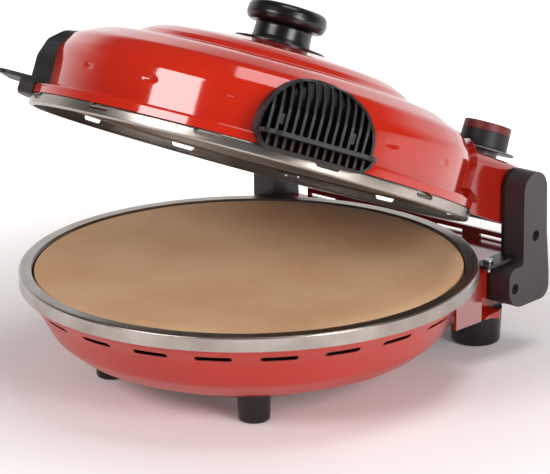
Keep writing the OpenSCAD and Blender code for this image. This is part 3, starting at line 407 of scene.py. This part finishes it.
def steel_tree(name, place, tone, streak_mm, roughness):
    """Sheet steel with lines brushed round the axis of a place, from their spacing."""
    material, tree = new_tree(name)
    where = add_node(tree, "ShaderNodeTexCoord")
    centred = add_node(tree, "ShaderNodeMapping", {"vector_type": "TEXTURE"},
                       Vector=where.outputs["Object"], Location=place.to_translation(),
                       Rotation=place.to_euler())
    split = add_node(tree, "ShaderNodeSeparateXYZ", Vector=centred.outputs[0])
    across = add_node(tree, "ShaderNodeCombineXYZ", X=split.outputs[0], Y=split.outputs[1])
    radius = add_node(tree, "ShaderNodeVectorMath", {"operation": "LENGTH"},
                      _0=across.outputs[0])
    turned = add_node(tree, "ShaderNodeMath", {"operation": "ARCTAN2"}, _0=split.outputs[1],
                      _1=split.outputs[0])
    along = add_node(tree, "ShaderNodeMath", {"operation": "MULTIPLY"}, _0=turned.outputs[0],
                     _1=streak_mm * MM * 3)
    lines = add_node(tree, "ShaderNodeCombineXYZ", X=radius.outputs["Value"],
                     Y=split.outputs[2], Z=along.outputs[0])
    streak = add_node(tree, "ShaderNodeTexNoise", Vector=lines.outputs[0],
                      Scale=1 / (streak_mm * MM), Detail=3.0)
    cloud = add_node(tree, "ShaderNodeTexNoise", Vector=where.outputs["Object"], Scale=40.0,
                     Detail=2.0)
    mixed = add_node(tree, "ShaderNodeMath", {"operation": "MULTIPLY_ADD"},
                     _0=streak.outputs["Fac"], _1=0.2, _2=roughness - 0.1)
    tint = add_node(tree, "ShaderNodeMix", {"data_type": "RGBA"}, _0=cloud.outputs["Fac"],
                    _6=colour(tone), _7=colour("#8A8079"))
    bump = add_node(tree, "ShaderNodeBump", Height=streak.outputs["Fac"], Strength=0.5,
                    Distance=0.02 * MM)
    metal = add_node(tree, "ShaderNodeBsdfPrincipled", Base_Color=tint.outputs[2],
                     Metallic=1.0, Roughness=mixed.outputs[0], Normal=bump.outputs[0])
    finish_tree(tree, metal.outputs[0])
    return material


SHEET_T = 1.0
brushed_steel = steel_tree("brushed_stainless", BASE_PLACE, "#BDB6AF", 0.5, 0.3)
ring_path = [(RIM_R, RIM_TOP - RIM_BAND, 0), (RIM_R, RIM_TOP, 1.6), (RIM_R - 9.5, RIM_TOP, 0)]
base_ring = turn("base_ring", refine(sheet_of(ring_path, SHEET_T), 4), 360)
crisp(base_ring)
wear(base_ring, brushed_steel, "base", "rim_steel", "base_rim_ring")

# ---- Lower reflector pan ----
# A pressed pan of aluminised steel under the stone. Its ledge carries the stone, and its
# floor throws the lower heater's heat up.
aluminised = steel_tree("aluminised_steel", BASE_PLACE, "#A9A6A2", 1.2, 0.42)
pan_path = [(0, 48.7, 0), (148.5, 48.7, 8), (155.5, 72.5, 2), (164.9, 72.5, 1.5),
            (164.9, 84.7, 1), (171.6, 84.7, 0)]
pan = turn("pan", refine(sheet_of(pan_path, SHEET_T), 12), 180)
crisp(pan)
wear(pan, aluminised, "base", "reflector_steel", "lower_reflector")

# ---- Baking stone ----
# A round slab of fired cordierite, pressed and smooth, with fine pores and slightly toasted
# patches. It lies loose on the pan's ledge.
STONE_R, STONE_LOW, STONE_TOP = 162.5, 73.5, 85.5
cordierite, tree, where, tint = wear_tree("fired_cordierite", "#EDC096", "#E0AE82", 0.9, 70)
speck = add_node(tree, "ShaderNodeTexVoronoi", Vector=where.outputs["Object"],
                 Scale=1 / (1.6 * MM))
pores = add_node(tree, "ShaderNodeMapRange", Value=speck.outputs["Distance"], From_Min=0.05,
                 From_Max=0.3, To_Min=0.0, To_Max=1.0)
toned = add_node(tree, "ShaderNodeMix", {"data_type": "RGBA"}, _0=pores.outputs[0],
                 _6=colour("#B98C66"), _7=tint)
stone_skin = add_node(tree, "ShaderNodeBsdfPrincipled", Base_Color=toned.outputs[2],
                      Roughness=0.72, IOR=1.5, Normal=grain(tree, where, 0.9, 0.05, 4.0))
finish_tree(tree, stone_skin.outputs[0])
stone_path = [Vector((0, STONE_LOW))] + line_of([
    (0, STONE_LOW, 0), (STONE_R, STONE_LOW, 1), (STONE_R, STONE_TOP, 1.4), (0, STONE_TOP, 0),
])[1:]
stone = turn("stone", refine(stone_path, 10), 240)
crisp(stone)
wear(stone, cordierite, "stone", "stone_beige", "baking_stone")

# ---- Base housing ----
# One red moulding behind the bowl: a box with two wings in front of the arms, a floor over
# the arms' barrels, and a low slotted wall. It is glossy ABS, and its edges are rounded.


def dress(material, names, round_mm=0.4, steps=2):
    """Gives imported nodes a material, and rounds and smooths their sharp edges a little."""
    for name in names:
        piece = nodes[name]
        for slot in piece.material_slots:
            slot.material = material
        if not round_mm:
            continue
        piece.data.shade_smooth()
        weld = piece.modifiers.new("weld", "WELD")
        weld.merge_threshold = 1e-6
        flat = piece.modifiers.new("flat", "DECIMATE")
        flat.decimate_type = "DISSOLVE"
        flat.angle_limit = math.radians(0.5)
        soft = piece.modifiers.new("soft", "BEVEL")
        soft.limit_method = "ANGLE"
        soft.angle_limit = math.radians(32)
        soft.width = round_mm * MM
        soft.segments = steps
        crisp(piece, 38)
        piece.modifiers.new("weighted", "WEIGHTED_NORMAL").keep_sharp = True


red_abs, tree, where, tint = wear_tree("red_abs", "#A21C0C", "#8F1508", 0.6, 90)
moulded = add_node(tree, "ShaderNodeBsdfPrincipled", Base_Color=tint, Roughness=0.14,
                   IOR=1.53, Coat_Weight=0.4, Coat_Roughness=0.06,
                   Normal=grain(tree, where, 1.6, 0.008))
finish_tree(tree, moulded.outputs[0])
dress(red_abs, ["base_housing"], 1.0, 3)

# ---- Bottom cover, feet and gland ----
# A painted steel cover closes the box from below. The feet are turned from one black
# moulding each, and a rubber gland lines the cord's hole in the back.
dark_paint, tree, where, tint = wear_tree("dark_painted_steel", "#3A3837", "#2C2A2A", 0.7, 30)
paint = add_node(tree, "ShaderNodeBsdfPrincipled", Base_Color=tint, Roughness=0.5,
                 Normal=grain(tree, where, 1.2, 0.02))
finish_tree(tree, paint.outputs[0])
dress(dark_paint, ["base_bottom_cover", "lid_housing_cover"], 0.3)


def black_tree(name, base, other, roughness, spark_mm, depth_mm):
    """Dark moulded plastic with a spark-eroded skin."""
    material, tree, where, tint = wear_tree(name, base, other, 0.8, 45)
    skin = add_node(tree, "ShaderNodeBsdfPrincipled", Base_Color=tint, Roughness=roughness,
                    IOR=1.5, Normal=grain(tree, where, spark_mm, depth_mm, 3.0))
    finish_tree(tree, skin.outputs[0])
    return material


black_phenolic = black_tree("black_phenolic", "#130E0F", "#1B1516", 0.26, 1.1, 0.008)
rubber = black_tree("black_rubber", "#161415", "#201D1E", 0.7, 0.8, 0.03)
dress(black_phenolic, ["front_feet", "rear_feet"], 0.5)
dress(rubber, ["cord_gland"], 0.4)

# ---- Screws and hinge pins ----
# Zinc-plated pan-head screws, and ground steel pins that the lid turns on. The plating is
# bright with a faint blue tone and fine turning marks.


def turned_metal(name, light, dark, marks_per_m, roughness):
    """Bare metal turned on a lathe, whose tone varies with its fine marks."""
    material, tree = new_tree(name)
    where = add_node(tree, "ShaderNodeTexCoord")
    marks = add_node(tree, "ShaderNodeTexNoise", Vector=where.outputs["Object"],
                     Scale=marks_per_m, Detail=2.0)
    tone = add_node(tree, "ShaderNodeMix", {"data_type": "RGBA"}, _0=marks.outputs["Fac"],
                    _6=colour(light), _7=colour(dark))
    metal = add_node(tree, "ShaderNodeBsdfPrincipled", Base_Color=tone.outputs[2],
                     Metallic=1.0, Roughness=roughness)
    finish_tree(tree, metal.outputs[0])
    return material


zinc = turned_metal("zinc_plated_steel", "#D6D8DC", "#A9ABB0", 900.0, 0.24)
dress(zinc, ["foot_screws", "deck_screws", "arm_screws", "hinge_pins", "grip_screws",
             "knob_screw", "timer_shaft"], 0.35)

# ---- Hinge arms ----
# Each arm is a hollow ABS moulding, screwed to an inner plate whose barrel fits the housing. Two
# screws sit deep in recesses on the outside. The plastic is black, as the inner plate shows; the
# moulding's grey-black tone is lighter than that, a painted sheen of the right-hand light, on top
# of the real gloss it catches.
# painted sheen: the arm moulding's black plastic is coloured grey so that its lit side reads
# lighter
arm_abs_painted_sheen = black_tree("black_abs_painted_sheen", "#3D3435", "#352C2D", 0.42, 1.3, 0.02)
plate_abs = black_tree("inner_plate_abs", "#1D1819", "#161213", 0.34, 1.3, 0.01)
dress(arm_abs_painted_sheen, ["arm_right", "arm_left"], 1.1, 3)
dress(plate_abs, ["arm_plate_right", "arm_plate_left"], 0.5)

# ---- Heaters, clips and brackets ----
# Tubular heaters whose steel sheath is oxidised by heat, held by bent clips. The hinge and
# timer brackets are the same plain aluminised sheet.
oxide, tree, where, tint = wear_tree("oxidised_sheath", "#4A443F", "#6A5A4C", 0.9, 12)
sheath = add_node(tree, "ShaderNodeBsdfPrincipled", Base_Color=tint, Metallic=0.85,
                  Roughness=0.5, Normal=grain(tree, where, 0.8, 0.02))
finish_tree(tree, sheath.outputs[0])
dress(oxide, ["lower_heater", "upper_heater"], 0.2)
dress(aluminised, ["lower_heater_clips", "upper_heater_clips", "hinge_brackets",
                   "timer_bracket"], 0.2)

# ---- Electric pieces ----
# A steatite terminal block and cut-out, leads in woven glass sleeves, and the white timer
# works behind the dial.
steatite, tree, where, tint = wear_tree("steatite", "#E6E0D2", "#D8D0C0", 0.8, 8)
glazed = add_node(tree, "ShaderNodeBsdfPrincipled", Base_Color=tint, Roughness=0.55,
                  Normal=grain(tree, where, 0.7, 0.02))
finish_tree(tree, glazed.outputs[0])
dress(steatite, ["terminal_block", "thermal_cutout", "timer_unit"], 0.3)
SLEEVE_THREAD = 0.6
sleeve, tree = new_tree("glass_sleeve")
where = add_node(tree, "ShaderNodeTexCoord")
braid = add_node(tree, "ShaderNodeTexWave", {"bands_direction": "DIAGONAL"},
                 Vector=where.outputs["Object"], Scale=1 / (6.28 * SLEEVE_THREAD * MM),
                 Distortion=2.0)
thread = add_node(tree, "ShaderNodeMix", {"data_type": "RGBA"}, _0=braid.outputs["Fac"],
                  _6=colour("#DAD7CE"), _7=colour("#B9B5AA"))
woven = add_node(tree, "ShaderNodeBsdfPrincipled", Base_Color=thread.outputs[2],
                 Roughness=0.8)
finish_tree(tree, woven.outputs[0])
dress(sleeve, ["base_wiring", "lid_wiring"], 0)

# ---- Lid dome ----
# A deep-drawn steel dome with glossy fired enamel, a flat raised middle and a flange that
# the steel band is held under. Small oval marks are pressed into its wall.
LID_OPEN = math.radians(24)
HINGE = Vector((0, 177.5, 125)) * MM
LID_PLACE = (BASE_PLACE @ Matrix.Translation(HINGE) @ Matrix.Rotation(-LID_OPEN, 4, "X")
             @ Matrix.Translation(-HINGE))
LID_R, BAND_TOP, FLANGE_TOP, DOME_R = 170, 97.4, 104.4, 160.2
dome_path = [
    (169.7, BAND_TOP, 0), (169.7, FLANGE_TOP, 1.6), (DOME_R, FLANGE_TOP, 1), (DOME_R, 136, 18),
    (150.4, 149, 16), (131.2, 158.2, 30), (107, 161.5, 3), (102, 165.7, 6), (92, 170.8, 30),
    (43, 178, 60), (35, 179, 0), (0, 179, 0),
]
DIMPLE_Z, DIMPLE_LONG, DIMPLE_HIGH, DIMPLE_DEEP = 123, 6.4, 2.7, 0.8
DIMPLES = [9 + i * 22.5 for i in range(-5, 6)]
DIMPLE_BAND = 8
HOUSING_X = 115.2
BAY_FRONT, BAY_LENGTH, BAY_LOW, BAY_HIGH = 90, 100, 90, 104.45


def finer(section, low, high, longest):
    """Splits a section's long sides more finely between two heights."""
    made = []
    for a, b in zip(section, section[1:] + section[:1]):
        near = max(a.y, b.y) > low and min(a.y, b.y) < high
        parts = max(1, math.ceil((b - a).length / longest)) if near else 1
        made += [a.lerp(b, i / parts) for i in range(parts)]
    return made


section = refine(sheet_of(dome_path, SHELL_T, 4), 8)
section = finer(section, DIMPLE_Z - DIMPLE_BAND, DIMPLE_Z + DIMPLE_BAND, 0.9)
dome = turn("dome", section, 720, Matrix())
for v in dome.data.vertices:
    z = v.co.z / MM
    r = math.hypot(v.co.x, v.co.y) / MM
    if abs(z - DIMPLE_Z) > DIMPLE_HIGH or r < 155:
        continue
    angle = math.degrees(math.atan2(v.co.x, -v.co.y))
    u = min((abs(angle - d) for d in DIMPLES)) * math.pi / 180 * r
    q = (u / DIMPLE_LONG) ** 2 + ((z - DIMPLE_Z) / DIMPLE_HIGH) ** 2
    if q < 1:
        deep = DIMPLE_DEEP * (1 - q) ** 1.2
        v.co.x *= 1 - deep / r
        v.co.y *= 1 - deep / r
dome.data.transform(LID_PLACE)
# the flange stops at the lid housing
bay = bmesh.new()
bmesh.ops.create_cube(bay, size=1.0)
for v in bay.verts:
    v.co = Vector((v.co.x * 2 * HOUSING_X, BAY_FRONT + (v.co.y + 0.5) * BAY_LENGTH,
                   BAY_LOW + (v.co.z + 0.5) * (BAY_HIGH - BAY_LOW))) * MM
bay_box = as_object("bay", bay, LID_PLACE)
keep_section = [Vector(p) for p in ((0, 80), (DOME_R, 80), (DOME_R, 120), (0, 120))]
keep = turn("keep", keep_section, 720, LID_PLACE)
cut(bay_box, keep)
cut(dome, bay_box)
crisp(dome)
glossy_enamel, tree, where, tint = wear_tree("glossy_enamel", "#C5260F", "#B81F0A", 0.5, 80)
fired = add_node(tree, "ShaderNodeBsdfPrincipled", Base_Color=tint, Roughness=0.09, IOR=1.5,
                 Coat_Weight=0.4, Coat_Roughness=0.03, Normal=grain(tree, where, 3.0, 0.006))
finish_tree(tree, fired.outputs[0])
wear(dome, glossy_enamel, "lid", "red_enamel", "lid_dome")

# ---- Lid rim ring ----
# A band of bare stainless steel under the dome's flange, with slots that let the steam out.
# It is brushed round, as the base's ring is.
SLOT_H, SLOT_W, SLOT_TURN = 5.2, 19, 1.4
brushed_lid = steel_tree("brushed_stainless_lid", LID_PLACE, "#BDB6AF", 0.5, 0.3)
lid_ring_path = [(LID_R - 4, 88.3, 0), (LID_R, 88.3, 2), (LID_R, BAND_TOP, 1.8),
                 (157.2, BAND_TOP, 0)]
lid_ring = turn("lid_ring", refine(sheet_of(lid_ring_path, SHEET_T), 4), 360, LID_PLACE)
cut(lid_ring, slot_cutter([i * 30 - SLOT_TURN for i in range(12)], SLOT_W, SLOT_H, LID_R - 2,
                          BAND_TOP + 0.4 - SLOT_H / 2, 4, LID_PLACE))
crisp(lid_ring)
wear(lid_ring, brushed_lid, "lid", "rim_steel", "lid_rim_ring")

# ---- Lid reflector ----
# The dull aluminised liner of the lid, which faces the pizza and carries the upper heater.
aluminised_lid = steel_tree("aluminised_steel_lid", LID_PLACE, "#B4B0AC", 1.2, 0.38)
liner_path = [(166, 95.4, 0), (155.2, 95.4, 2), (150.2, 139.8, 14), (0, 139.8, 0)]
liner = turn("liner", refine(sheet_of(liner_path, -SHEET_T), 10), 240, LID_PLACE)
LEG_X, LEG_HOLE, UP_HEATER_Z = 29, 8.6, 124
BORE_Y, BORE_LONG = 149, 90
for side in (-1, 1):
    bore = bmesh.new()
    bmesh.ops.create_cone(bore, cap_ends=True, segments=32, radius1=LEG_HOLE / 2 * MM,
                          radius2=LEG_HOLE / 2 * MM, depth=BORE_LONG * MM)
    bmesh.ops.transform(bore, matrix=Matrix.Translation(
        Vector((side * LEG_X, BORE_Y, UP_HEATER_Z)) * MM) @ Matrix.Rotation(math.pi / 2, 4, "X"),
        verts=bore.verts)
    bmesh.ops.recalc_face_normals(bore, faces=bore.faces)
    cut(liner, as_object("bore", bore, LID_PLACE))
crisp(liner)
wear(liner, aluminised_lid, "lid", "reflector_steel", "lid_reflector")

# ---- Lid housing ----
# A red ABS box behind the dome that holds the timer and the hinge bushes. It meets the dome
# in a soft hollow fillet.
dress(red_abs, ["lid_housing"], 0.8, 3)
FILLET_R, FILLET_STEPS, FILLET_SUNK = 8, 8, 4
FILLET_NEAR, FILLET_FAR, FILLET_HALVINGS = 60.0, 200.0, 40
CROWN_R = 130
HOUSING_TOP, HOUSING_ROUND = 143.5, 9
dome_line = np.array([(p.x, p.y) for p in line_of(dome_path, 4)])


def to_dome(r, z):
    """The nearest point of the dome's outside, and the distance to it."""
    a, b = dome_line[:-1], dome_line[1:]
    run = b - a
    t = np.clip(((np.array((r, z)) - a) * run).sum(1) / (run * run).sum(1), 0, 1)
    near = a + run * t[:, None]
    away = np.hypot(r - near[:, 0], z - near[:, 1])
    return near[away.argmin()], away.min()


# the housing's outline from behind, as x, z and the direction that leads out of it
corner_x, corner_z = HOUSING_X - HOUSING_ROUND, HOUSING_TOP - HOUSING_ROUND
outline = [(HOUSING_X, z, 1, 0) for z in np.linspace(FLANGE_TOP + 1, corner_z, 12)]
for a in np.linspace(0, math.pi / 2, 12)[1:]:
    u, v = math.cos(a), math.sin(a)
    outline.append((corner_x + HOUSING_ROUND * u, corner_z + HOUSING_ROUND * v, u, v))
outline += [(x, HOUSING_TOP, 0, 1) for x in np.linspace(corner_x, 0, 40)[1:]]
outline += [(-x, z, -u, v) for x, z, u, v in outline[-2::-1]]
fillet = bmesh.new()
loops = []
for x, z, u, v in outline:
    # a ball of the fillet's radius rolls along the outline and touches dome and housing
    cx, cz = x + FILLET_R * u, z + FILLET_R * v
    near_y, far_y = FILLET_NEAR, FILLET_FAR
    for _ in range(FILLET_HALVINGS):
        y = (near_y + far_y) / 2
        flat_r = math.hypot(cx, y)
        inside = flat_r < CROWN_R or to_dome(flat_r, cz)[1] < FILLET_R
        near_y, far_y = (y, far_y) if inside else (near_y, y)
    centre = Vector((cx, far_y, cz))
    flat_r = math.hypot(cx, far_y)
    touch, _ = to_dome(flat_r, cz)
    on_dome = Vector((cx / flat_r * touch[0], far_y / flat_r * touch[0], touch[1]))
    on_box = Vector((x, far_y, z))
    p, q = on_dome - centre, on_box - centre
    arc = [centre + p.slerp(q, i / FILLET_STEPS) for i in range(FILLET_STEPS + 1)]
    deep = (on_dome + on_box) / 2 - centre
    arc.append(centre + deep + deep.normalized() * FILLET_SUNK)
    loops.append([fillet.verts.new(point * MM) for point in arc])
round_it = FILLET_STEPS + 2
for a, b in zip(loops, loops[1:]):
    for i in range(round_it):
        n = (i + 1) % round_it
        fillet.faces.new((a[i], a[n], b[n], b[i]))
fillet.faces.new(loops[0])
fillet.faces.new(loops[-1][::-1])
bmesh.ops.recalc_face_normals(fillet, faces=fillet.faces)
fillet_strip = as_object("housing_fillet", fillet, LID_PLACE)
crisp(fillet_strip, 50)
wear(fillet_strip, red_abs, "lid", "red_plastic")

# ---- Hinge bushes and friction washers ----
# Turned brass bushes in the brackets, and grey nylon washers that hold the lid by friction.
brass = turned_metal("turned_brass", "#C8A560", "#A98542", 700.0, 0.3)
dress(brass, ["hinge_bushes"], 0.3)
nylon = black_tree("grey_nylon", "#5A595A", "#4C4B4C", 0.5, 0.9, 0.01)
dress(nylon, ["friction_washers"], 0.2)

# ---- Side grips ----
# Black phenolic grips with upright louvre bars that stay cool, and a finger tongue below.
grip_phenolic = black_tree("grip_phenolic", "#0F0B0C", "#171213", 0.5, 1.1, 0.01)
dress(grip_phenolic, ["grip_right", "grip_left"], 0.3)

# ---- Top knob ----
# A black phenolic knob, moulded in one with its neck, over a thin black flange. One screw
# from inside the dome holds it.
CROWN_Z, KNOB_LOW, KNOB_TOP = 179, 180.6, 210.1
knob_section = line_of([
    (0, KNOB_LOW, 0), (23.2, KNOB_LOW, 1), (22.2, KNOB_LOW + 4, 4), (21.6, 194.3, 2),
    (28.8, 194.3, 6), (30.8, 200.3, 6), (29.4, KNOB_TOP - 1.2, 8), (18.8, KNOB_TOP, 20),
    (0, KNOB_TOP, 0),
])
knob = turn("knob", refine(knob_section, 3), 192, LID_PLACE)
wear(knob, black_phenolic, "lid", "black_plastic", "top_knob")
FLANGE_R = 35
flange_section = line_of([
    (0, CROWN_Z, 0), (FLANGE_R, CROWN_Z, 0.5), (FLANGE_R, KNOB_LOW, 0.7), (0, KNOB_LOW, 0),
])
knob_plate = turn("knob_plate", refine(flange_section, 4), 192, LID_PLACE)
crisp(knob_plate)
wear(knob_plate, black_phenolic, "lid", "black_plastic", "knob_flange")

# ---- Timer ----
# A grey dial plate stands on a hub over the housing, with the black knob above it. A dark
# red cap is pressed into the knob's top.
TIMER_X, TIMER_Y = 83.5, 168.5
TIMER_PLACE = LID_PLACE @ Matrix.Translation(Vector((TIMER_X, TIMER_Y, 0)) * MM)
DIAL_LOW, DIAL_TOP, DIAL_R, HUB_R = 148.3, 149.8, 25.5, 12.75
dial_section = line_of([
    (0, HOUSING_TOP, 0), (HUB_R, HOUSING_TOP, 0), (HUB_R, DIAL_LOW, 0.6), (DIAL_R, DIAL_LOW, 0.4),
    (DIAL_R, DIAL_TOP, 0.5), (0, DIAL_TOP, 0),
])
dial_abs = black_tree("satin_grey_abs", "#6E6A6C", "#605C5E", 0.4, 1.0, 0.01)
dial = turn("dial", refine(dial_section, 4), 160, TIMER_PLACE)
crisp(dial)
wear(dial, dial_abs, "lid", "dial_grey", "dial_plate")
KNOB_R, BODY_LOW, BODY_TOP, CAP_TOP = 19.25, 150.1, 162.9, 169.4
timer_body = turn("timer_body", refine(line_of([
    (0, BODY_LOW, 0), (KNOB_R, BODY_LOW, 0.8), (KNOB_R - 0.5, BODY_TOP, 0.3), (0, BODY_TOP, 0),
]), 3), 160, TIMER_PLACE)
crisp(timer_body)
wear(timer_body, grip_phenolic, "timer", "black_plastic", "timer_knob")
cap_red, tree, where, tint = wear_tree("dark_red_abs", "#6E120E", "#5E0E0B", 0.6, 20)
cap_skin = add_node(tree, "ShaderNodeBsdfPrincipled", Base_Color=tint, Roughness=0.48,
                    IOR=1.53, Normal=grain(tree, where, 0.9, 0.01))
finish_tree(tree, cap_skin.outputs[0])
timer_cap = turn("timer_cap", refine(line_of([
    (0, BODY_TOP, 0), (KNOB_R - 0.5, BODY_TOP, 0.3), (KNOB_R - 0.7, CAP_TOP, 1),
    (0, CAP_TOP, 0),
]), 3), 160, TIMER_PLACE)
crisp(timer_cap)
wear(timer_cap, cap_red, "timer", "red_cap", "timer_knob_cap")

scene = bpy.context.scene
scene.view_settings.view_transform = "Standard"
